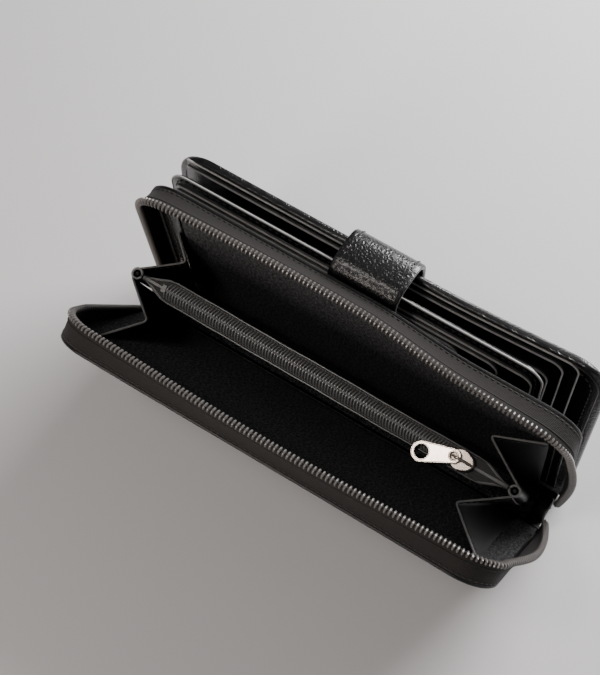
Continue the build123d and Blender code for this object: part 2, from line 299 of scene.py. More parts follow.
def circle(radius, x=0.0, y=0.0, count=40):
    """Points of a circle."""
    turn = [2 * math.pi * k / count for k in range(count)]
    return [(x + radius * math.cos(a), y + radius * math.sin(a)) for a in turn]


def hull_of(big, small, distance, count=24):
    """Outline round two circles: one at the origin and a bigger one further along -X."""
    lean = math.asin((big - small) / distance)
    edge = []
    for k in range(count + 1):
        a = -math.pi / 2 + lean + (math.pi - 2 * lean) * k / count
        edge.append((small * math.cos(a), small * math.sin(a)))
    for k in range(count + 1):
        a = math.pi / 2 - lean + (math.pi + 2 * lean) * k / count
        edge.append((-distance + big * math.cos(a), big * math.sin(a)))
    return edge


def moved(shape, matrix):
    """A shape turned and shifted, in mm."""
    points, faces, grain = shape
    turned = np.asarray(points, float) @ np.array(matrix.to_3x3()).T + np.array(matrix.translation)
    return turned.tolist(), faces, grain


def smooth_step(low, high, value):
    """0 below low, 1 above high, and a smooth rise between."""
    t = np.clip((np.asarray(value, float) - low) / (high - low), 0, 1)
    return t * t * (3 - 2 * t)


def bend_front(points):
    """The front wall sags inwards a little towards its right end."""
    x, z = points[:, 0], points[:, 2]
    points[:, 1] += 1.3 * (0.4 + 0.6 * smooth_step(-90, 60, x)) * np.clip(z / WALL_HEIGHT, 0, 1.1)
    return points


def bend_middle(points):
    """The middle wall leans forwards to the right of the strap."""
    x, z = points[:, 0], points[:, 2]
    points[:, 1] -= 2.8 * smooth_step(4, 52, x) * np.clip(z / WALL_HEIGHT, 0, 1.1) ** 2
    return points


def bend_cover(points):
    """The rear cover splays backwards at its right end."""
    x, z = points[:, 0], points[:, 2]
    points[:, 1] += 2.8 * smooth_step(22, 100, x) * np.clip(z / COVER_TOP, 0, 1.1) ** 1.5
    return points


# ---------------------------------------------------------------- materials

def new_material(name, color, roughness, **constants):
    """A material with one principled shader and its constant sockets set."""
    material = bpy.data.materials.new(name)
    material.use_nodes = True
    tree = material.node_tree
    shader = tree.nodes["Principled BSDF"]
    shader.inputs["Base Color"].default_value = (*color, 1)
    shader.inputs["Roughness"].default_value = roughness
    for socket, value in constants.items():
        shader.inputs[socket.replace("_", " ")].default_value = value
    return material, tree, shader


def add(tree, kind, inputs=None, **settings):
    """A node with its settings, and its inputs linked or set."""
    node = tree.nodes.new(kind)
    for name, value in settings.items():
        setattr(node, name, value)
    for name, value in (inputs or {}).items():
        if isinstance(value, bpy.types.NodeSocket):
            tree.links.new(value, node.inputs[name])
        else:
            node.inputs[name].default_value = value
    return node


def grain_map(tree, scale=(1, 1, 1), turn=0.0):
    """Map coordinates in millimetres, scaled and turned."""
    source = add(tree, "ShaderNodeUVMap", uv_map="grain")
    mapping = add(tree, "ShaderNodeMapping", {"Vector": source.outputs["UV"], "Scale": scale,
                                              "Rotation": (0, 0, math.radians(turn))})
    return mapping.outputs["Vector"]


def ramp(tree, factor, low, high, dark, light):
    """A two-colour ramp between two positions."""
    node = add(tree, "ShaderNodeValToRGB", {"Fac": factor})
    node.color_ramp.elements[0].position = low
    node.color_ramp.elements[1].position = high
    node.color_ramp.elements[0].color = (*dark, 1)
    node.color_ramp.elements[1].color = (*light, 1)
    return node.outputs["Color"]


def grade(tree, value, low, high):
    """A 0-to-1 value spread over another range."""
    node = add(tree, "ShaderNodeMapRange", {"Value": value, "To Min": low, "To Max": high})
    return node.outputs["Result"]


def bump(tree, height, distance, strength=1.0, onto=None):
    """A bump from a height, on top of an earlier one."""
    inputs = {"Height": height, "Distance": distance * MM, "Strength": strength}
    if onto is not None:
        inputs["Normal"] = onto
    return add(tree, "ShaderNodeBump", inputs).outputs["Normal"]


def leather(name, cell, depth, dark, light, gloss, coat=0.0, shine=0.5):
    """Grained leather: cells with creases between them painted darker as shade, fine pores and uneven
    polish.
    """
    material, tree, shader = new_material(name, light, 0.4, Coat_Weight=coat, Coat_Roughness=0.25,
                                          Specular_IOR_Level=shine)
    place = grain_map(tree)
    wander = add(tree, "ShaderNodeTexNoise", {"Vector": place, "Scale": 0.9 / cell, "Detail": 2.0})
    shifted = add(tree, "ShaderNodeMix", {"Factor": 0.18, "A": place, "B": wander.outputs["Color"]},
                  data_type="VECTOR")
    warped = shifted.outputs[1]
    cells = add(tree, "ShaderNodeTexVoronoi", {"Vector": warped, "Scale": 1.0 / cell, "Randomness": 0.9},
                feature="DISTANCE_TO_EDGE")
    crease = add(tree, "ShaderNodeMapRange", {"Value": cells.outputs["Distance"], "From Max": 0.42},
                 interpolation_type="SMOOTHSTEP")
    pores = add(tree, "ShaderNodeTexNoise", {"Vector": place, "Scale": 5.5 / cell, "Detail": 4.0})
    patches = add(tree, "ShaderNodeTexNoise", {"Vector": place, "Scale": 0.07, "Detail": 3.0})
    # Base colour: darkest in the creases between the cells, as painted shade.
    color = ramp(tree, crease.outputs["Result"], 0.0, 0.6, dark, light)
    tree.links.new(color, shader.inputs["Base Color"])
    mixed = add(tree, "ShaderNodeMath", {0: pores.outputs["Fac"], 1: patches.outputs["Fac"]},
                operation="MULTIPLY")
    tree.links.new(grade(tree, mixed.outputs["Value"], gloss[0], gloss[1]), shader.inputs["Roughness"])
    first = bump(tree, crease.outputs["Result"], depth)
    tree.links.new(bump(tree, pores.outputs["Fac"], depth * 0.35, 0.6, first), shader.inputs["Normal"])
    return material


def cloth(name, dark, light):
    """Brushed charcoal lining: a fine plain weave under short fuzzy tufts."""
    material, tree, shader = new_material(name, light, 0.95, Sheen_Weight=0.05, Sheen_Roughness=0.5,
                                          Specular_IOR_Level=0.25)
    shader.inputs["Sheen Tint"].default_value = (0.5, 0.5, 0.52, 1)
    place = grain_map(tree)
    fuzz = add(tree, "ShaderNodeTexNoise", {"Vector": place, "Scale": 1.1, "Detail": 5.0,
                                            "Roughness": 0.7})
    tufts = add(tree, "ShaderNodeTexNoise", {"Vector": grain_map(tree, (0.8, 1.5, 1), 35.0),
                                             "Scale": 0.55, "Detail": 6.0, "Roughness": 0.8})
    weave = add(tree, "ShaderNodeTexWave", {"Vector": place, "Scale": 0.62, "Distortion": 0.6},
                bands_direction="DIAGONAL")
    both = add(tree, "ShaderNodeMath", {0: fuzz.outputs["Fac"], 1: tufts.outputs["Fac"]},
               operation="MULTIPLY")
    tree.links.new(ramp(tree, both.outputs["Value"], 0.19, 0.35, dark, light), shader.inputs["Base Color"])
    tree.links.new(grade(tree, fuzz.outputs["Fac"], 0.85, 1.0), shader.inputs["Roughness"])
    first = bump(tree, both.outputs["Value"], 0.9)
    tree.links.new(bump(tree, weave.outputs["Fac"], 0.05, 0.5, first), shader.inputs["Normal"])
    return material


def woven_tape(name, dark, light):
    """Zip tape: a diagonal twill with slubs along the length."""
    material, tree, shader = new_material(name, light, 0.85, Sheen_Weight=0.06, Sheen_Roughness=0.4,
                                          Specular_IOR_Level=0.3)
    place = grain_map(tree)
    twill = add(tree, "ShaderNodeTexWave", {"Vector": place, "Scale": 0.75, "Distortion": 0.7,
                                            "Detail": 1.0}, bands_direction="DIAGONAL")
    ribs = add(tree, "ShaderNodeTexWave", {"Vector": place, "Scale": 0.55, "Distortion": 0.4},
               bands_direction="Y")
    slubs = add(tree, "ShaderNodeTexNoise", {"Vector": grain_map(tree, (0.35, 2.0, 1)), "Scale": 1.2,
                                             "Detail": 4.0})
    threads = add(tree, "ShaderNodeMath", {0: twill.outputs["Fac"], 1: ribs.outputs["Fac"]},
                  operation="ADD")
    uneven = add(tree, "ShaderNodeMath", {0: threads.outputs["Value"], 1: slubs.outputs["Fac"]},
                 operation="MULTIPLY")
    tree.links.new(ramp(tree, uneven.outputs["Value"], 0.15, 0.85, dark, light), shader.inputs["Base Color"])
    tree.links.new(grade(tree, slubs.outputs["Fac"], 0.7, 0.95), shader.inputs["Roughness"])
    tree.links.new(bump(tree, uneven.outputs["Value"], 0.14), shader.inputs["Normal"])
    return material


def worn(name, color, lighter, roughness, fine=3.0, depth=0.02, **constants):
    """A plain hard or coated surface with faint mottling, scuffs and uneven polish."""
    material, tree, shader = new_material(name, color, roughness[0], **constants)
    place = grain_map(tree)
    mottle = add(tree, "ShaderNodeTexNoise", {"Vector": place, "Scale": fine * 0.2, "Detail": 5.0})
    scuffs = add(tree, "ShaderNodeTexNoise", {"Vector": grain_map(tree, (4.0, 0.4, 1), 20.0),
                                              "Scale": fine, "Detail": 4.0})
    tree.links.new(ramp(tree, mottle.outputs["Fac"], 0.3, 0.75, color, lighter), shader.inputs["Base Color"])
    tree.links.new(grade(tree, scuffs.outputs["Fac"], *roughness), shader.inputs["Roughness"])
    tree.links.new(bump(tree, scuffs.outputs["Fac"], depth, 0.5), shader.inputs["Normal"])
    return material


# Each leather's first colour is the painted shade in its creases; the second is the colour of the cells.
PEBBLED = leather("pebbled_leather", 1.2, 0.1, (0.002, 0.002, 0.002), (0.008, 0.007, 0.007),
                  (0.28, 0.4), 0.1, 0.6)
SMOOTH = leather("smooth_leather", 0.5, 0.05, (0.003, 0.003, 0.003), (0.008, 0.0075, 0.0075),
                 (0.38, 0.55), 0.0, 0.3)
GLAZED = leather("glazed_leather", 0.8, 0.03, (0.002, 0.002, 0.002), (0.005, 0.005, 0.005), (0.2, 0.36), 0.2)
BRUSHED = cloth("brushed_lining", (0.002, 0.002, 0.0025), (0.13, 0.13, 0.134))
POCKET_CLOTH = cloth("pocket_cloth", (0.003, 0.003, 0.0035), (0.03, 0.03, 0.031))
TAPE = woven_tape("zip_tape", (0.003, 0.0027, 0.0026), (0.030, 0.026, 0.0245))
COIN_TAPE = woven_tape("coin_zip_tape", (0.03, 0.029, 0.029), (0.14, 0.135, 0.132))
COIL = worn("nylon_coil", (0.09, 0.083, 0.079), (0.17, 0.158, 0.15), (0.2, 0.34), 2.0)
COIN_COIL = worn("coin_coil", (0.28, 0.274, 0.268), (0.42, 0.41, 0.4), (0.2, 0.34), 2.0)
# Edge colour: grey edge paint lightened to stand for a highlight, partly real edge paint and partly painted
# highlight.
EDGE = worn("edge_paint_and_highlight", (0.17, 0.167, 0.162), (0.26, 0.255, 0.245), (0.25, 0.4), 1.5)
# Pale edge colour for the pocket-leaf mouths and the page's edge: a painted highlight standing for the
# glossy glints on them.
PALE_HIGHLIGHT_EDGE = worn("painted_highlight_edge", (0.34, 0.335, 0.33), (0.46, 0.45, 0.44), (0.18, 0.3), 1.5)
DARK_EDGE = worn("dark_edge", (0.02, 0.019, 0.018), (0.04, 0.038, 0.037), (0.22, 0.4), 1.5)
PALE_THREAD = worn("pale_thread", (0.2, 0.195, 0.19), (0.36, 0.35, 0.34), (0.4, 0.6), 6.0, 0.05)
THREAD = worn("sewing_thread", (0.012, 0.011, 0.011), (0.04, 0.038, 0.036), (0.45, 0.65), 6.0, 0.05)
METAL = worn("rose_gold", (0.80, 0.66, 0.56), (0.88, 0.76, 0.67), (0.2, 0.34), 1.2, 0.012, Metallic=1.0)
BOARD = worn("fibre_board", (0.3, 0.25, 0.19), (0.38, 0.33, 0.26), (0.8, 0.95), 4.0, 0.06)


# ---------------------------------------------------------------- wall outline and rim

def wall_edge(spacing, inset=0.0, low=RIM_START, half=LENGTH / 2, height=WALL_HEIGHT, corner=CORNER):
    """Points along a wall's side, top and other side: x, z, outward x, outward z."""
    half, height, corner = half - inset, height - inset, corner - inset
    side, arc, across = height - corner - low, corner * math.pi / 2, 2 * (half - corner)
    total = 2 * side + 2 * arc + across
    rows = []
    for s in np.linspace(0, total, max(2, round(total / spacing) + 1)):
        mirrored = s > total / 2
        t = total - s if mirrored else s
        if t < side:
            x, z, out_x, out_z = -half, low + t, -1.0, 0.0
        elif t < side + arc:
            a = (t - side) / corner
            out_x, out_z = -math.cos(a), math.sin(a)
            x, z = -half + corner + corner * out_x, height - corner + corner * out_z
        else:
            x, z, out_x, out_z = -half + corner + t - side - arc, height, 0.0, 1.0
        rows.append((-x if mirrored else x, z, -out_x if mirrored else out_x, out_z))
    return np.array(rows)


def rim_surface(edge, inward, flare, depth, columns=7):
    """The zip tape standing on a wall's edge: a grid from the wall to the tape's free edge."""
    grid = []
    for (x, z, out_x, out_z), tip, reach in zip(edge, flare, depth):
        row = []
        for q in np.linspace(0, 1, columns):
            out = reach * math.sin(tip) * q ** 1.5
            rise = reach * math.cos(tip * 0.8) * q
            row.append((x + out_x * out, inward * rise, z + out_z * out))
        grid.append(row)
    return np.array(grid)


def tooth(place, along, across, down, sides=6):
    """One turn of a coil: a rounded staple over the tape's free edge."""
    reach, wide, wire = 0.8, 1.1, 0.5
    line = [(-wide, -reach), (-wide, 0.0), (-wide * 0.6, 0.32), (wide * 0.6, 0.32), (wide, 0.0),
            (wide, -reach)]
    path = [place + across * a - down * b for a, b in line]
    return sweep(path, wire, sides, up=along)


def rim_teeth(surface, spacing):
    """A row of coil turns along the free edge of a tape."""
    free = surface[:, -1]
    down = unit(surface[:, -2] - free)
    length = np.concatenate([[0], np.cumsum(np.linalg.norm(np.diff(free, axis=0), axis=1))])
    along = unit(np.gradient(free, axis=0))
    across = np.cross(along, down)
    shapes = []
    for at in np.arange(spacing, length[-1] - spacing, spacing):
        pick = [np.array([np.interp(at, length, field[:, k]) for k in range(3)])
                for field in (free, along, across, down)]
        shapes.append(tooth(*pick))
    return join(shapes)


def shell_rows(low, top, corner, straight=16, bend=9):
    """Heights of a panel's rows, closer together round its top corners."""
    lower = np.linspace(low, top - corner, straight)
    upper = top - corner + corner * np.sin(np.linspace(0, math.pi / 2, bend + 1)[1:])
    return np.concatenate([lower, upper])


def half_width(z, half, top, corner):
    """Half the width of a panel with rounded top corners at a height."""
    rise = max(0.0, z - (top - corner))
    return half - corner + math.sqrt(max(corner ** 2 - rise ** 2, 0.0))


def panel(half, low, top, corner, depth_at, columns=41, middle=0.0):
    """A grid over a rounded panel; depth_at(x, z) gives its y."""
    grid = []
    for z in shell_rows(low, top, corner):
        wide = half_width(z, half, top, corner)
        grid.append([(middle + x, depth_at(x, z), z) for x in np.linspace(-wide, wide, columns)])
    return np.array(grid)


def ripple(x, z, size, seed):
    """A slow unevenness of glued cloth."""
    return size * (math.sin(0.11 * x + seed) * math.sin(0.09 * z + 1.7 * seed)
                   + 0.5 * math.sin(0.31 * x - 0.17 * z + seed))


def facing_strip(name, place, inward, side, body, bend):
    """Leather flange of a gusset, sewn to the lining along a wall's end."""
    y = inward * (LINING_FACE + 0.35)
    rows = [[(side * x, y, z) for x in np.linspace(91.0, 82.6, 6)]
            for z in np.linspace(8, 84, 22)]
    make(name, thick(rows, 0.8), GLAZED, body, place, bend=bend)
    line = [(side * 87.4, y + inward * 0.4, z) for z in np.linspace(10, 81, 30)]
    make(name + "_stitches", stitches(line, (0, inward, 0), 2.8), THREAD, body, place, bend=bend)


def build_wall(name, place, inward, body, foot_rows, rim_at, bend, stands_for):
    """One compartment wall: leather, piping, lining, zip tape with its stitches, and teeth."""
    half = LENGTH / 2
    skin = panel(half - 0.4, 2.0, WALL_HEIGHT - 0.4, CORNER - 0.4,
                 lambda x, z: -inward * 0.7)
    foot = [[(x, y, z) for x in np.linspace(-half + 0.4, half - 0.4, skin.shape[1])]
            for y, z in foot_rows]
    make(f"{name}_skin", thick(np.concatenate([foot, skin]), 1.3), SMOOTH, body, place,
         stands_for[:1], bend)
    lining = panel(half - 1.6, 1.2, WALL_HEIGHT - 1.6, CORNER - 1.6,
                   lambda x, z: inward * (1.15 + ripple(x, z, 0.08, 1.0 + inward)))
    cloth_piece = make(f"{name}_lining_cloth", thick(lining, 0.6), BRUSHED, body, place,
                       stands_for[1:2], bend)
    edge = wall_edge(1.5)
    piping = [(x, -inward * 0.5, z) for x, z, _, _ in wall_edge(1.5, 0.2, 4.0)]
    make(f"{name}_piping", sweep(piping, 0.85, 8, up=(0, 1, 0)), SMOOTH, body, place, bend=bend)
    core = panel(half - 4, 3.0, WALL_HEIGHT - 4, CORNER - 4, lambda x, z: inward * 0.4)
    make(f"{name}_stiffener", thick(core, 0.7), BOARD, body, place, (f"{name}_board",), bend)
    tips, depth = np.array([rim_at(x, z) for x, z, _, _ in edge]).T
    surface = rim_surface(edge, inward, np.radians(tips), depth)
    make(f"{name}_zip_tape", thick(surface, 0.75), TAPE, body, place, stands_for[2:3],
         bend)
    line = (surface[:, 1] + surface[:, 0]) / 2
    out = unit(np.cross(np.gradient(line, axis=0), surface[:, 2] - surface[:, 0]))
    out = out * np.sign(np.sum(out[:, [0, 2]] * edge[:, 2:4], axis=1))[:, None]
    make(f"{name}_tape_stitches", stitches(line + out * 0.36, out, 2.4, 0.7, 0.2), THREAD, body, place,
         bend=bend)
    cord = surface[:, 4] + out * 0.34
    make(f"{name}_tape_cord", sweep(cord, 0.3, 6, up=out), TAPE, body, place, bend=bend)
    make(f"{name}_zip_teeth", rim_teeth(surface, TOOTH_PITCH), COIL, body, place,
         stands_for[3:4], bend)
    return cloth_piece


def front_rim(x, z):
    """Tilt and depth of the front wall's tape: square at the left, fallen out mid-way and at the right."""
    if z > 76.5:
        middle = math.cos(math.pi / 2 * min(1.0, abs(x) / 90))
        top = float(smooth_step(76.5, 91, z))
        return 2 + (38 * middle - 4) * top, 9.0 + 1.2 * top * (0.3 + 0.7 * middle)
    if x < 0:
        return 2.0, 1.6 + 7.4 * min(1.0, (z - 8) / 60)
    return 2 + 42 * math.sin(math.pi * (z - 10) / 66.5), 9.0


def middle_rim(x, z):
    """Tilt and depth of the middle wall's tape: leaning out along the top and less at its ends."""
    middle = math.cos(math.pi / 2 * min(1.0, abs(x + 12) / 100)) ** 0.8
    top = float(smooth_step(76.5, 91, z))
    side = 2.0 if x < 0 else 4 + 24 * math.sin(math.pi * max(0.0, z - 10) / 66.5)
    return side + (4 + 40 * middle - side) * top, 9.2 + 0.6 * top


def roll(radius, start, end, count, centre=(0.0, 0.0)):
    """Points of an arc in a side view, by angle from +Y."""
    turn = [math.radians(a) for a in np.linspace(start, end, count)]
    return [(centre[0] + radius * math.cos(a), centre[1] + radius * math.sin(a)) for a in turn]


front_foot = [(1.5, 1.0)] + roll(1.7, 0, -160, 12)
front_cloth = build_wall("front_wall", FRONT, 1, "front_wall", front_foot, front_rim, bend_front,
                         ("front_wall_leather", "front_wall_lining", "front_zip_tape", "front_zip_coil"))
middle_foot = [(-0.2, -1.2), (0.5, -1.2), (0.7, 0.0)]
middle_cloth = build_wall("middle_wall", MIDDLE, -1, "standing_half", middle_foot, middle_rim, bend_middle,
                          ("middle_wall_leather", "middle_wall_lining", "rear_zip_tape", "rear_zip_coil"))
for end, word in ((-1, "left"), (1, "right")):
    facing_strip(f"middle_wall_flange_{word}", MIDDLE, -1, end, "standing_half", bend_middle)


# ---------------------------------------------------------------- spine

def build_spine():
    """The bottom strip, turned up at both long edges round the hinge lines."""
    profile = roll(2.75, 205, 268, 8, (FRONT_HINGE_Y, HINGE_Z))
    profile += [(y, 0.6) for y in np.linspace(FRONT_HINGE_Y + 1, 19.5, 12)]
    profile += roll(2.75, 275, 335, 8, (20.5, HINGE_Z))
    grid = [[(x, y, z) for x in np.linspace(-93, 93, 31)] for y, z in profile]
    make("spine_skin", thick(grid, 1.1), SMOOTH, "standing_half", UPRIGHT,
         ("spine_leather",))
    cloth_grid = [[(x, y, 1.45 + ripple(x, y, 0.05, 2)) for x in np.linspace(-86.8, 86.8, 41)]
                  for y in np.linspace(-7.3, 5.3, 8)]
    floor_cloth = make("spine_lining_cloth", thick(cloth_grid, 0.5), BRUSHED, "standing_half", UPRIGHT,
                       ("spine_lining",))
    for y, word in ((-7.0, "front"), (12.2, "rear")):
        line = [(x, y, 1.2) for x in np.linspace(-88, 88, 60)]
        make(f"spine_stitches_{word}", stitches(line, (0, 0, 1), 3.0), THREAD, "standing_half")


build_spine()


# ---------------------------------------------------------------- gussets

def folded_line(points, bend=1.8, count=5):
    """A wall-fold-loop line seen from above, with its fold rounded."""
    wall, fold, loop = (np.array(p, float) for p in points)
    into, out = unit(fold - wall), unit(loop - fold)
    start, end = fold - into * bend, fold + out * bend
    first = [wall + (start - wall) * t for t in np.linspace(0, 1, 7, endpoint=False)]
    last = [end + (loop - end) * t for t in np.linspace(0, 1, 7)[1:]]
    arc = [(1 - t) ** 2 * start + 2 * t * (1 - t) * fold + t * t * end for t in np.linspace(0, 1, count + 2)]
    return np.array(first + arc + last)


def gusset_grid(top, foot, high=59.5, low=5.0):
    """A folded leather end piece from the spine up to its bound edge."""
    upper, lower = folded_line(top), folded_line(foot)
    grid = []
    for t in np.linspace(0, 1, 18):
        line = lower + (upper - lower) * t ** 0.92
        sag = 0.9 * math.sin(math.pi * t)
        rows = [(x, y, low + (high - low) * t + 0.25 * math.sin(9 * k / len(line) + 4 * t))
                for k, (x, y) in enumerate(line)]
        bow = np.sin(np.linspace(0, 2 * math.pi, len(line))) * sag
        grid.append([(x + b * 0.4, y - b * 0.6, z) for (x, y, z), b in zip(rows, bow)])
    return np.array(grid)


def build_gussets():
    """Both ends, a rear and a front half each, built in place without riding on any body."""
    slope = math.tan(math.radians(DIVIDER_LEAN))
    top_y = DIVIDER_FOOT_Y - (60.0 - HINGE_Z) * slope
    foot_y = DIVIDER_FOOT_Y - (6.0 - HINGE_Z) * slope
    for word, side in (("left", -1), ("right", 1)):
        loop, fold, low_fold = (DIVIDER_X + side * r for r in (LOOP_REACH, 69.5, 78.5))
        rear_fold = -74.6 if side < 0 else 64.6
        wall = side * 84.5
        rear = gusset_grid([(wall, 0.4), (rear_fold, -8.4), (loop, top_y + 2.6)],
                           [(wall, 6.6), (low_fold, 4.4), (loop, foot_y + 3.0)])
        front = gusset_grid([(wall, -53.6), (fold, -38.5), (loop, top_y - 2.6)],
                            [(wall, -9.8), (low_fold, -7.2), (loop, foot_y - 3.0)])
        for part, grid, bodies, start, end in (
                ("rear", rear, ("standing_half", "divider"), (0, 6.4, 6.0), (0, -5.8, 3.0)),
                ("front", front, ("divider", "front_wall"), (0, -6.0, 16.3), (0, -17.3, 9.8))):
            pieces = [make(f"gusset_skin_{word}_{part}", thick(grid, 0.9), SMOOTH, None, UPRIGHT,
                           (f"gusset_{word}_{part}",))]
            # Top edge of the gusset in the lightened edge colour: edge paint with a painted highlight.
            pieces.append(make(f"gusset_edge_{word}_{part}", sweep(grid[-1] + (0, 0, 0.25), 0.42, 8), EDGE,
                               None))
            seam = grid[-1] * 0.55 + grid[-2] * 0.45
            facing = unit(np.cross(np.gradient(seam, axis=0), (0, 0, 1)))
            for flip in (-1, 1):
                row = stitches(seam + facing * 0.45 * flip, facing * flip, 2.4, 0.65, 0.2)
                pieces.append(make(f"gusset_stitches_{word}_{part}_{'ab'[flip > 0]}", row, THREAD, None))
            for piece in pieces:
                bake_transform(piece)


build_gussets()


# ---------------------------------------------------------------- divider, coin pocket and its zip

def build_pocket():
    """The two coin pocket walls, puffed apart a little, with bound top edges."""
    cloth_pieces = []
    for word, side in (("front", -1), ("rear", 1)):
        grid = []
        for z in np.linspace(DIVIDER_FOOT, DIVIDER_TOP + 0.2, 16):
            t = (z - DIVIDER_FOOT) / (DIVIDER_TOP - DIVIDER_FOOT)
            row = []
            for x in np.linspace(-DIVIDER_HALF - 5.0, DIVIDER_HALF + 5.0, 45):
                ends = 1 - float(smooth_step(DIVIDER_HALF - 9, DIVIDER_HALF + 4, abs(x)))
                spread = (1.6 + 2.6 * t + 1.0 * math.sin(math.pi * t) * math.sin(math.pi * (x + 84) / 168))
                y = side * (0.5 + (spread - 0.5) * ends) + ripple(x, z, 0.12, side)
                row.append((DIVIDER_X + x, y, z))
            grid.append(row)
        grid = np.array(grid)
        cloth_pieces.append(make(f"pocket_{word}_cloth", thick(grid, 0.7), POCKET_CLOTH, "divider", DIVIDER,
                                 (f"coin_pocket_{word}_wall",)))
        bound = grid[-1] + np.array([0, side * 0.15, 0.25])
        make(f"pocket_{word}_binding", sweep(bound, 0.5, 8), DARK_EDGE, "divider", DIVIDER)
        seam = grid[-2] * 0.7 + grid[-3] * 0.3 + np.array([0, side * 0.38, 0])
        make(f"pocket_{word}_stitches", stitches(seam, (0, side, 0), 2.2, 0.66, 0.18), THREAD, "divider",
             DIVIDER)
    return cloth_pieces


def build_loops():
    """Rolled leather tubes at the divider's ends, with rims in edge paint lightened as a painted highlight.
    """
    for word, side in (("left", -1), ("right", 1)):
        x = DIVIDER_X + side * LOOP_REACH
        low, high = 13.0, DIVIDER_TOP + 1.2
        rows = []
        for z in np.linspace(low, high, 16):
            turn = np.linspace(math.radians(12), math.radians(348), 22)
            rows.append([(x - side * 2.05 * math.cos(a), 2.05 * math.sin(a), z) for a in turn])
        make(f"loop_{word}", thick(rows, 0.9), SMOOTH, "divider", DIVIDER,
             (f"{word}_end_loop",))
        rim = [(x - side * 2.05 * math.cos(a), 2.05 * math.sin(a), high + 0.1)
               for a in np.linspace(math.radians(14), math.radians(346), 26)]
        make(f"loop_{word}_rim", sweep(rim, 0.55, 8), EDGE, "divider", DIVIDER)
        core = [(x, 0, z) for z in np.linspace(low + 1, high - 0.7, 8)]
        make(f"loop_{word}_core", sweep(core, 1.35, 10, up=(0, 1, 0)), SMOOTH, "divider", DIVIDER)


def tape_half(x):
    """Half the width of the coin zip's tape: it folds to a narrow tail at both ends."""
    return 0.9 + 3.5 * (1 - float(smooth_step(DIVIDER_HALF - 10, DIVIDER_HALF + 2, abs(x))))


def build_coin_tapes():
    """Tape each side of the coils, crowned, with its ends folded to a point."""
    top = DIVIDER_TOP + 0.5
    for word, side in (("front", -1), ("rear", 1)):
        grid = []
        for x in np.linspace(-DIVIDER_HALF - 3.5, DIVIDER_HALF + 3.5, 90):
            wide = tape_half(x)
            folded = float(smooth_step(DIVIDER_HALF - 8, DIVIDER_HALF, abs(x)))
            row = []
            for q in np.linspace(0, 1, 6):
                lift = 0.5 * (1 - q ** 2) + folded * 0.2 * (1 - q)
                row.append((DIVIDER_X + x, side * (0.25 + (wide - 0.25) * q), top + lift - 0.15))
            grid.append(row)
        grid = np.array(grid)
        make(f"coin_tape_{word}", thick(grid, 0.55), COIN_TAPE, "divider", DIVIDER,
             (f"coin_zip_{word}_tape",))
        inside = grid[8:-8]
        line = inside[:, 4] + np.array([0, 0, 0.3])
        make(f"coin_tape_stitches_{word}", stitches(line, (0, side * 0.35, 1), 1.3, 0.6, 0.2), PALE_THREAD,
             "divider", DIVIDER)
        # Hem and folded ends in the lightened edge colour: partly edge, partly a painted highlight along the
        # tape's edges.
        hem = grid[:, 5] + np.array([0, 0, 0.12])
        make(f"coin_tape_hem_{word}", sweep(hem, 0.36, 8), EDGE, "divider", DIVIDER)
        tail = grid[-10:, 0] + np.array([0, 0, 0.25])
        lead = grid[:10, 0] + np.array([0, 0, 0.25])
        for end, fold in (("left", lead), ("right", tail)):
            make(f"coin_tape_fold_{word}_{end}", sweep(fold, 0.42, 8), EDGE, "divider", DIVIDER)


def build_coin_coil():
    """Interlocked turns of the closed coin zip: two offset rows with their sewing between."""
    top = DIVIDER_TOP + 1.25
    left, right = -DIVIDER_HALF + 7.0, SLIDER_X - DIVIDER_X + 0.5
    turns, sewing = [], []
    for side, offset in ((-1, 0.0), (1, 0.5)):
        for x in np.arange(left + offset * COIN_PITCH, right, COIN_PITCH):
            line = [(x, side * -0.35, top + 0.2), (x + 0.05, side * 0.15, top + 0.42),
                    (x + 0.2, side * 1.3, top + 0.36), (x + 0.42, side * 2.0, top - 0.05)]
            turns.append(sweep(np.array(line) + np.array([DIVIDER_X, 0, 0]), 0.36, 6, up=(1, 0, 0)))
            knot = [(x + 0.5, side * 2.3, top - 0.05), (x + 0.7, side * 2.65, top + 0.12),
                    (x + 0.9, side * 3.1, top - 0.15)]
            sewing.append(sweep(np.array(knot) + np.array([DIVIDER_X, 0, 0]), 0.26, 5, up=(1, 0, 0)))
    make("coin_coil_turns", join(turns), COIN_COIL, "divider", DIVIDER, ("coin_zip_coil",))
    make("coin_coil_sewing", join(sewing), PALE_THREAD, "divider", DIVIDER)
    for node in ("coin_zip_bottom_stop", "coin_zip_top_stop"):
        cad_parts[node].data.materials.clear()
        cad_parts[node].data.materials.append(COIL)


pocket_cloths = build_pocket()
build_loops()
build_coin_tapes()
build_coin_coil()


# ---------------------------------------------------------------- metal parts

def dome(length, width, height, round_off, rings=9, around=36):
    """A pillow-shaped plate top with a flat underside."""
    points, grain = [], []
    for r in range(rings + 1):
        t = r / rings
        swell = math.sin(t * math.pi / 2)
        drop = math.cos(t * math.pi / 2) ** round_off
        for k in range(around):
            a = 2 * math.pi * k / around
            x, y = length / 2 * swell * math.cos(a), width / 2 * swell * math.sin(a)
            points.append((x, y, height * drop))
            grain.append((x, y))
    for k in range(around):
        a = 2 * math.pi * k / around
        points.append((length / 2 * math.cos(a), width / 2 * math.sin(a), -0.6))
        grain.append((points[-1][0], points[-1][1]))
    faces = []
    for r in range(rings + 1):
        for k in range(around):
            n = (k + 1) % around
            faces.append((r * around + k, (r + 1) * around + k, (r + 1) * around + n, r * around + n))
    faces.append(tuple((rings + 1) * around + k for k in range(around))[::-1])
    return points, faces[around:] + [tuple(range(around, 2 * around))], grain


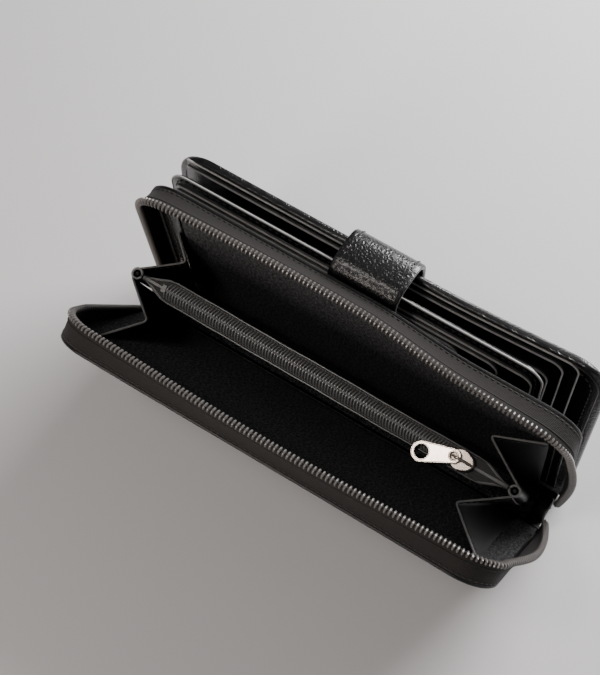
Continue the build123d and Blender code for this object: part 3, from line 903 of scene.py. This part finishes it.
def build_coin_slider():
    """Coin zip slider: oval body with side guides and a bridge."""
    top = DIVIDER_TOP + 0.5
    above = top + 1.5
    at = DIVIDER @ Matrix.Translation((SLIDER_X, 0, above))
    body = moved(plate([hull_of(4.3, 3.4, 2.2)], 1.3, 0.55), Matrix.Translation((1.6, 0, 1.1)))
    lower = moved(plate([hull_of(4.0, 3.0, 2.6)], 1.0, 0.3), Matrix.Translation((1.6, 0, -3.0)))
    make("coin_slider_plates", join([body, lower]), METAL, "coin_slider", at,
         ("coin_slider_body",))
    arch = [(-2.2, 0, 1.3), (-3.3, 0, 2.0), (-3.2, 0, 3.1), (-1.8, 0, 3.8), (0.2, 0, 3.7), (2.2, 0, 3.1),
            (3.6, 0, 2.3), (4.0, 0, 1.5)]
    bridge = sweep(spline(arch, 22), 0.62, 10, flat=1.0, up=(0, 1, 0))
    make("coin_slider_bridge", bridge, METAL, "coin_slider", at, ("coin_slider_bail",))
    return at


def build_coin_pull(at):
    """Tapered pull with a big round hole, a raised rim and an eyelet round the bridge."""
    swing = Matrix.Rotation(math.radians(PULL_SWING), 4, "Z")
    dip = Matrix.Rotation(math.radians(-PULL_DIP), 4, "Y")
    place = at @ Matrix.Translation((-3.15, 0, 2.5)) @ (swing @ dip)
    outer, inner = hull_of(4.2, 2.9, 12.4), hull_of(3.55, 2.25, 12.4)
    face = plate([outer, circle(2.7, -12.4), circle(1.5)], 0.9, 0.2)
    rim = plate([outer, inner], 1.25, 0.28)
    hole_rim = plate([circle(3.25, -12.4), circle(2.65, -12.4)], 1.2, 0.26)
    eyelet = sweep([(1.75 * math.cos(a), 1.75 * math.sin(a), 0.1) for a in
                    np.linspace(0, 2 * math.pi, 28, endpoint=False)], 0.52, 10, closed=True)
    make("coin_pull_plate", join([face, rim, hole_rim, eyelet]), METAL, "coin_pull", place,
         ("coin_pull_tab",))


build_coin_pull(build_coin_slider())


def dress_metal():
    """The outer zip's slider parts and the snap's hidden plates keep their shapes."""
    for node in ("outer_slider_body", "outer_slider_bail", "outer_pull_tab", "snap_post", "snap_socket"):
        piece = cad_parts[node]
        piece.data.materials.clear()
        piece.data.materials.append(METAL)
        edge = piece.modifiers.new("soft_edges", "BEVEL")
        edge.width, edge.segments, edge.limit_method = 0.25 * MM, 3, "ANGLE"
        edge.angle_limit = math.radians(40)


dress_metal()


def build_end_tab():
    """Folded tape tab that closes the outer zip's right end."""
    low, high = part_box("zip_end_tab")
    x0, x1 = low.x / MM, high.x / MM
    y0, y1 = low.y / MM, high.y / MM
    top = high.z / MM
    rows = []
    for x in np.linspace(x0 + 0.6, x1 - 0.6, 7):
        side = [(y0 + 0.7, 1.6), (y0 + 0.7, top - 2.5), (y0 + 1.9, top - 0.7), ((y0 + y1) / 2, top - 0.4),
                (y1 - 1.9, top - 0.7), (y1 - 0.7, top - 2.5), (y1 - 0.7, 1.6)]
        rows.append([(x, y, z) for y, z in spline(side, 24)])
    make("end_tab_leather", thick(rows, 1.0), SMOOTH, "standing_half", UPRIGHT, ("zip_end_tab",))


build_end_tab()


# ---------------------------------------------------------------- card page and rear cover

def bound_path(left, right, top, corner, low, y):
    """A line up the left side, along the top and down the right side of a leaf."""
    turn = np.linspace(0, math.pi / 2, 9)
    side = [(left, y, z) for z in np.linspace(low, top - corner, 24)][:-1]
    rise = [(left + corner - corner * math.cos(a), y, top - corner + corner * math.sin(a)) for a in turn]
    flat = [(x, y, top) for x in np.linspace(left + corner, right - corner, 60)][1:-1]
    fall = [(right - corner + corner * math.sin(a), y, top - corner + corner * math.cos(a)) for a in turn]
    down = [(right, y, z) for z in np.linspace(top - corner, low, 24)][1:]
    return np.array(side + rise + flat + fall + down)


def leaf_grid(left, right, low, top, corner, y, bow=0.0):
    """A card pocket leaf: square at its sewn side, rounded at its mouth."""
    rows = []
    for z in shell_rows(low, top, corner, 10, 9):
        rise = max(0.0, z - (top - corner))
        end = right - corner + math.sqrt(max(corner ** 2 - rise ** 2, 0.0))
        swell = bow * math.sin(math.pi * min(1.0, (z - low) / (top - low)))
        rows.append([(x, y - swell * math.sin(math.pi * (x - left) / (right - left)), z)
                     for x in np.linspace(left, end, 26)])
    return np.array(rows)


def build_leaf(name, body, place, left, right, low, top, y, node, bend=None):
    """A leather pocket leaf with a rounded mouth, its edge painted pale as a highlight."""
    grid = leaf_grid(left, right, low, top, 5.0, y, 0.0)
    make(f"{name}_skin", thick(grid, LEAF_THICK - 0.04), GLAZED, body, place, (node,),
         bend)
    turn = np.linspace(0, math.pi / 2, 9)
    mouth = [(x, y, top) for x in np.linspace(left, right - 5, 40)][:-1]
    mouth += [(right - 5 + 5 * math.sin(a), y, top - 5 + 5 * math.cos(a)) for a in turn]
    mouth += [(right, y, z) for z in np.linspace(top - 5, low, 26)][1:]
    # Mouth edge painted pale: painted highlight.
    make(f"{name}_edge", sweep(mouth, 0.4, 8, up=(0, 1, 0)), PALE_HIGHLIGHT_EDGE, body, place, bend=bend)


def build_page():
    """Card page: a double leather sheet, an edge painted pale as a highlight, sewn border and three stepped
    leaves.
    """
    half, middle = (PAGE_RIGHT - PAGE_LEFT) / 2, (PAGE_RIGHT + PAGE_LEFT) / 2
    page = panel(half - 0.5, -1.4, PAGE_HEIGHT - 0.5, 8.0, lambda x, z: 0.7, 41, middle)
    make("page_skin", thick(page, 1.3), GLAZED, "page", PAGE, ("card_page",))
    edge = bound_path(PAGE_LEFT + 0.3, PAGE_RIGHT - 0.3, PAGE_HEIGHT - 0.3, 8.0, 0.0, 0.7)
    # Page edge painted pale: painted highlight along the top.
    make("page_edge", sweep(edge - (0, 0.3, 0.2), 0.48, 10, up=(0, 1, 0)), PALE_HIGHLIGHT_EDGE, "page", PAGE)
    for y, word in ((-0.05, "front"), (1.45, "rear")):
        line = bound_path(PAGE_LEFT + 2.6, PAGE_RIGHT - 2.6, PAGE_HEIGHT - 2.6, 6.0, 6.0, y)
        make(f"page_stitches_{word}", stitches(line, (0, math.copysign(1, y - 0.7), 0), 3.0, 0.62, 0.24),
             THREAD, "page", PAGE)
    for i, (right, top) in enumerate(PAGE_LEAVES):
        y = -LEAF_THICK * (len(PAGE_LEAVES) - i) + LEAF_THICK / 2
        build_leaf(f"page_pocket_{i + 1}", "page", PAGE, PAGE_LEFT + 3.2, right, 1.6, top, y,
                   f"page_leaf_{i + 1}")


def build_cover():
    """Rear cover: pebbled leather turned over its edge, glazed lining and stepped leaves."""
    half = LENGTH / 2
    middle = (COVER_INNER_Y + COVER_BACK_Y) / 2
    body = panel(half - 1.4, COVER_FOOT + 1.0, COVER_TOP - 1.4, CORNER - 1.4, lambda x, z: middle, 45)
    make("cover_skin", thick(body, COVER_BACK_Y - COVER_INNER_Y), PEBBLED, "rear_cover", UPRIGHT,
         ("rear_cover_leather", "rear_cover_board"), bend_cover)
    inside = panel(half - 3.4, COVER_FOOT + 2, COVER_TOP - 3.6, CORNER - 3.4,
                   lambda x, z: COVER_INNER_Y - 0.02, 45)
    make("cover_inner_leather", thick(inside, 0.5), GLAZED, "rear_cover", UPRIGHT,
         ("rear_cover_lining",), bend_cover)
    edge = bound_path(-half + 3.4, half - 3.4, COVER_TOP - 3.6, CORNER - 3.4, COVER_FOOT + 2,
                      COVER_INNER_Y - 0.1)
    make("cover_inner_edge", sweep(edge, 0.36, 8, up=(0, 1, 0)), DARK_EDGE, "rear_cover", bend=bend_cover)
    for inset, y, word in ((6.0, COVER_INNER_Y - 0.3, "inner"), (3.4, COVER_BACK_Y + 0.02, "outer")):
        line = bound_path(-half + inset, half - inset, COVER_TOP - inset, CORNER - inset + 1, 5.0, y)
        facing = (0, -1 if word == "inner" else 1, 0)
        make(f"cover_stitches_{word}", stitches(line, facing, 3.2, 0.62, 0.26), THREAD, "rear_cover",
             bend=bend_cover)
    for i, (right, top) in enumerate(COVER_LEAVES):
        y = COVER_INNER_Y - LEAF_THICK * (len(COVER_LEAVES) - i) + LEAF_THICK / 2 - 0.1
        build_leaf(f"cover_pocket_{i + 1}", "rear_cover", UPRIGHT, -half + 5.2, right, COVER_FOOT + 3.2,
                   top - 0.4, y, f"cover_leaf_{i + 1}", bend_cover)
    stud = [moved(plate([circle(4.9)], 0.5, 0.2), Matrix.Translation((0, 0, 0.2))),
            moved(plate([circle(1.75)], 0.9, 0.35), Matrix.Translation((0, 0, 0.5)))]
    facing = Matrix.Translation((STRAP_X, COVER_BACK_Y, SNAP_HEIGHT)) @ Matrix.Rotation(-math.pi / 2, 4, "X")
    make("snap_stud_metal", join(stud), METAL, "rear_cover", facing, ("snap_stud",))


build_page()
build_cover()


# ---------------------------------------------------------------- strap

def strap_profile():
    """Side view of the strap's middle, from behind the middle wall to its tail."""
    slope = math.tan(math.radians(MIDDLE_LEAN))
    root = MIDDLE_HINGE_Y - (STRAP_ROOT_Z - HINGE_Z) * slope + LEATHER + STRAP_FULL / 2
    back = COVER_BACK_Y + 1.3 + STRAP_FULL / 2
    low_y = MIDDLE_HINGE_Y - (62.0 - HINGE_Z) * slope + LEATHER + STRAP_FULL / 2
    return [(low_y, 62.0), (root + 0.9, 84.0), (root - 0.1, STRAP_ROOT_Z), (root + 0.9, 94.6),
            (root + 4.0, 97.4), (root + 8.0, 98.0), (back - 6.0, 97.6), (back - 2.0, 95.4),
            (back, 90.5), (back, 80.0), (back, 66.0), (back, 53.5)]


def strap_grid(shift, half, columns=17, trim=0.0):
    """Grid of one strap layer, offset from the middle, with a rounded tail."""
    line = spline(strap_profile(), 90)
    tangent = unit(np.gradient(line, axis=0))
    normal = np.stack([-tangent[:, 1], tangent[:, 0]], axis=1)
    line = line + normal * shift
    length = np.concatenate([[0], np.cumsum(np.linalg.norm(np.diff(line, axis=0), axis=1))])
    remaining = length[-1] - length
    grid = []
    for (y, z), left in zip(line, remaining):
        rounding = 9.0
        inside = max(0.0, rounding - left)
        wide = half - rounding + math.sqrt(max(rounding ** 2 - inside ** 2, 0.0)) - trim
        grid.append([(STRAP_X + x, y, z) for x in np.linspace(-wide, wide, columns)])
    return np.array(grid), normal


def build_strap():
    """Closing strap: pebbled face, smooth back, edges in edge paint lightened as a painted highlight, sewn
    border and snap cap.
    """
    face, _ = strap_grid(0.45, STRAP_HALF)
    back, _ = strap_grid(-0.6, STRAP_HALF)
    swell = 0.35 * np.cos(np.linspace(-1.2, 1.2, face.shape[1]))
    face[:, :, 2] += swell[None, :] * smooth_step(90, 97, face[:, :, 2])
    pieces = [make("strap_face", thick(face, 1.2), PEBBLED, None, UPRIGHT,
                   ("strap_outer", "strap_anchor")),
              make("strap_back", thick(back, 0.9), GLAZED, None, UPRIGHT,
                   ("strap_lining",))]
    seam, normal = strap_grid(-0.1, STRAP_HALF)
    outline = np.concatenate([seam[:, 0], seam[-1, 1:-1], seam[::-1, -1]])
    facing = np.concatenate([normal, np.repeat(normal[-1:], seam.shape[1] - 2, axis=0), normal[::-1]])
    # Strap edges in the lightened edge colour: edge paint with a painted highlight.
    pieces.append(make("strap_edge", sweep(outline, 0.62, 8, up=np.insert(facing, 0, 0, axis=1)), EDGE,
                       None))
    for column, word in ((0, "left"), (-1, "right")):
        border, normal = strap_grid(1.12, STRAP_HALF, trim=2.2)
        line, out = border[22:, column], np.insert(normal[22:], 0, 0, axis=1)
        line = line + out * 0.1
        pieces.append(make(f"strap_stitches_{word}", stitches(line, out, 2.8, 0.66, 0.24), THREAD, None))
    for piece in pieces:
        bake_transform(piece)
    outer = COVER_BACK_Y + 1.3 + STRAP_FULL
    facing = Matrix.Translation((STRAP_X, outer, SNAP_HEIGHT)) @ Matrix.Rotation(-math.pi / 2, 4, "X")
    cap = join([dome(11.0, 11.0, 0.9, 1.0), moved(plate([circle(5.6), circle(4.8)], 0.6, 0.25),
                                                  Matrix.Translation((0, 0, 0.15)))])
    make("snap_cap_metal", cap, METAL, "strap", facing, ("snap_cap",))


build_strap()


# ---------------------------------------------------------------- floor, lights and camera

def build_studio():
    """Pale floor, a large soft light from behind and above, and a weak fill."""
    mesh = bpy.data.meshes.new("floor")
    size = 4.0
    corners = [(-size, -size, 0), (size, -size, 0), (size, size, 0), (-size, size, 0)]
    mesh.from_pydata(corners, [], [(0, 1, 2, 3)])
    floor = bpy.data.objects.new("floor", mesh)
    bpy.context.scene.collection.objects.link(floor)
    paper, tree, shader = new_material("pale_paper", (0.62, 0.615, 0.62), 0.9)
    tooth_noise = add(tree, "ShaderNodeTexNoise", {"Scale": 900.0, "Detail": 3.0})
    tree.links.new(bump(tree, tooth_noise.outputs["Fac"], 0.05, 0.2), shader.inputs["Normal"])
    mesh.materials.append(paper)
    world = bpy.data.worlds.new("studio")
    world.use_nodes = True
    world.node_tree.nodes["Background"].inputs["Color"].default_value = (0.95, 0.97, 1.0, 1)
    world.node_tree.nodes["Background"].inputs["Strength"].default_value = 0.11
    bpy.context.scene.world = world
    for name, place, aim, width, height, power, color in (
            ("softbox", (0.16, 0.58, 0.42), (0.0, 0.05, 0.0), 0.5, 0.3, 12.5, (1.0, 0.985, 0.98)),
            ("overhead", (-0.22, -0.32, 0.78), (0.0, 0.0, 0.06), 0.16, 0.16, 1.5, (1.0, 0.94, 0.90)),
            ("window", (-0.26, -0.84, 0.30), (0.0, 0.0, 0.06), 0.2, 0.4, 5.2, (1.0, 0.90, 0.84))):
        data = bpy.data.lights.new(name, "AREA")
        data.shape, data.size, data.size_y = "RECTANGLE", width, height
        data.energy, data.color = power, color
        lamp = bpy.data.objects.new(name, data)
        lamp.location = place
        lamp.rotation_euler = (Vector(aim) - Vector(place)).to_track_quat("-Z", "Y").to_euler()
        bpy.context.scene.collection.objects.link(lamp)


def build_camera():
    """Camera above the right front corner, looking down on the open wallet."""
    azimuth, elevation, tilt = math.radians(33.31), math.radians(62.95), math.radians(-0.59)
    target, distance = Vector((-0.02094, -0.00808, 0.050)), 0.60763
    back = Vector((math.cos(elevation) * math.sin(azimuth), -math.cos(elevation) * math.cos(azimuth),
                   math.sin(elevation)))
    right = Vector((math.cos(azimuth), math.sin(azimuth), 0))
    up = back.cross(right)
    right, up = right * math.cos(tilt) + up * math.sin(tilt), up * math.cos(tilt) - right * math.sin(tilt)
    data = bpy.data.cameras.new("camera")
    data.lens, data.sensor_width = 81.91, 36.0
    data.clip_start, data.clip_end = 0.01, 20.0
    camera = bpy.data.objects.new("camera", data)
    turn = Matrix((right, up, back)).transposed().to_4x4()
    camera.matrix_world = Matrix.Translation(target + back * distance) @ turn
    bpy.context.scene.collection.objects.link(camera)
    bpy.context.scene.camera = camera


build_studio()
build_camera()
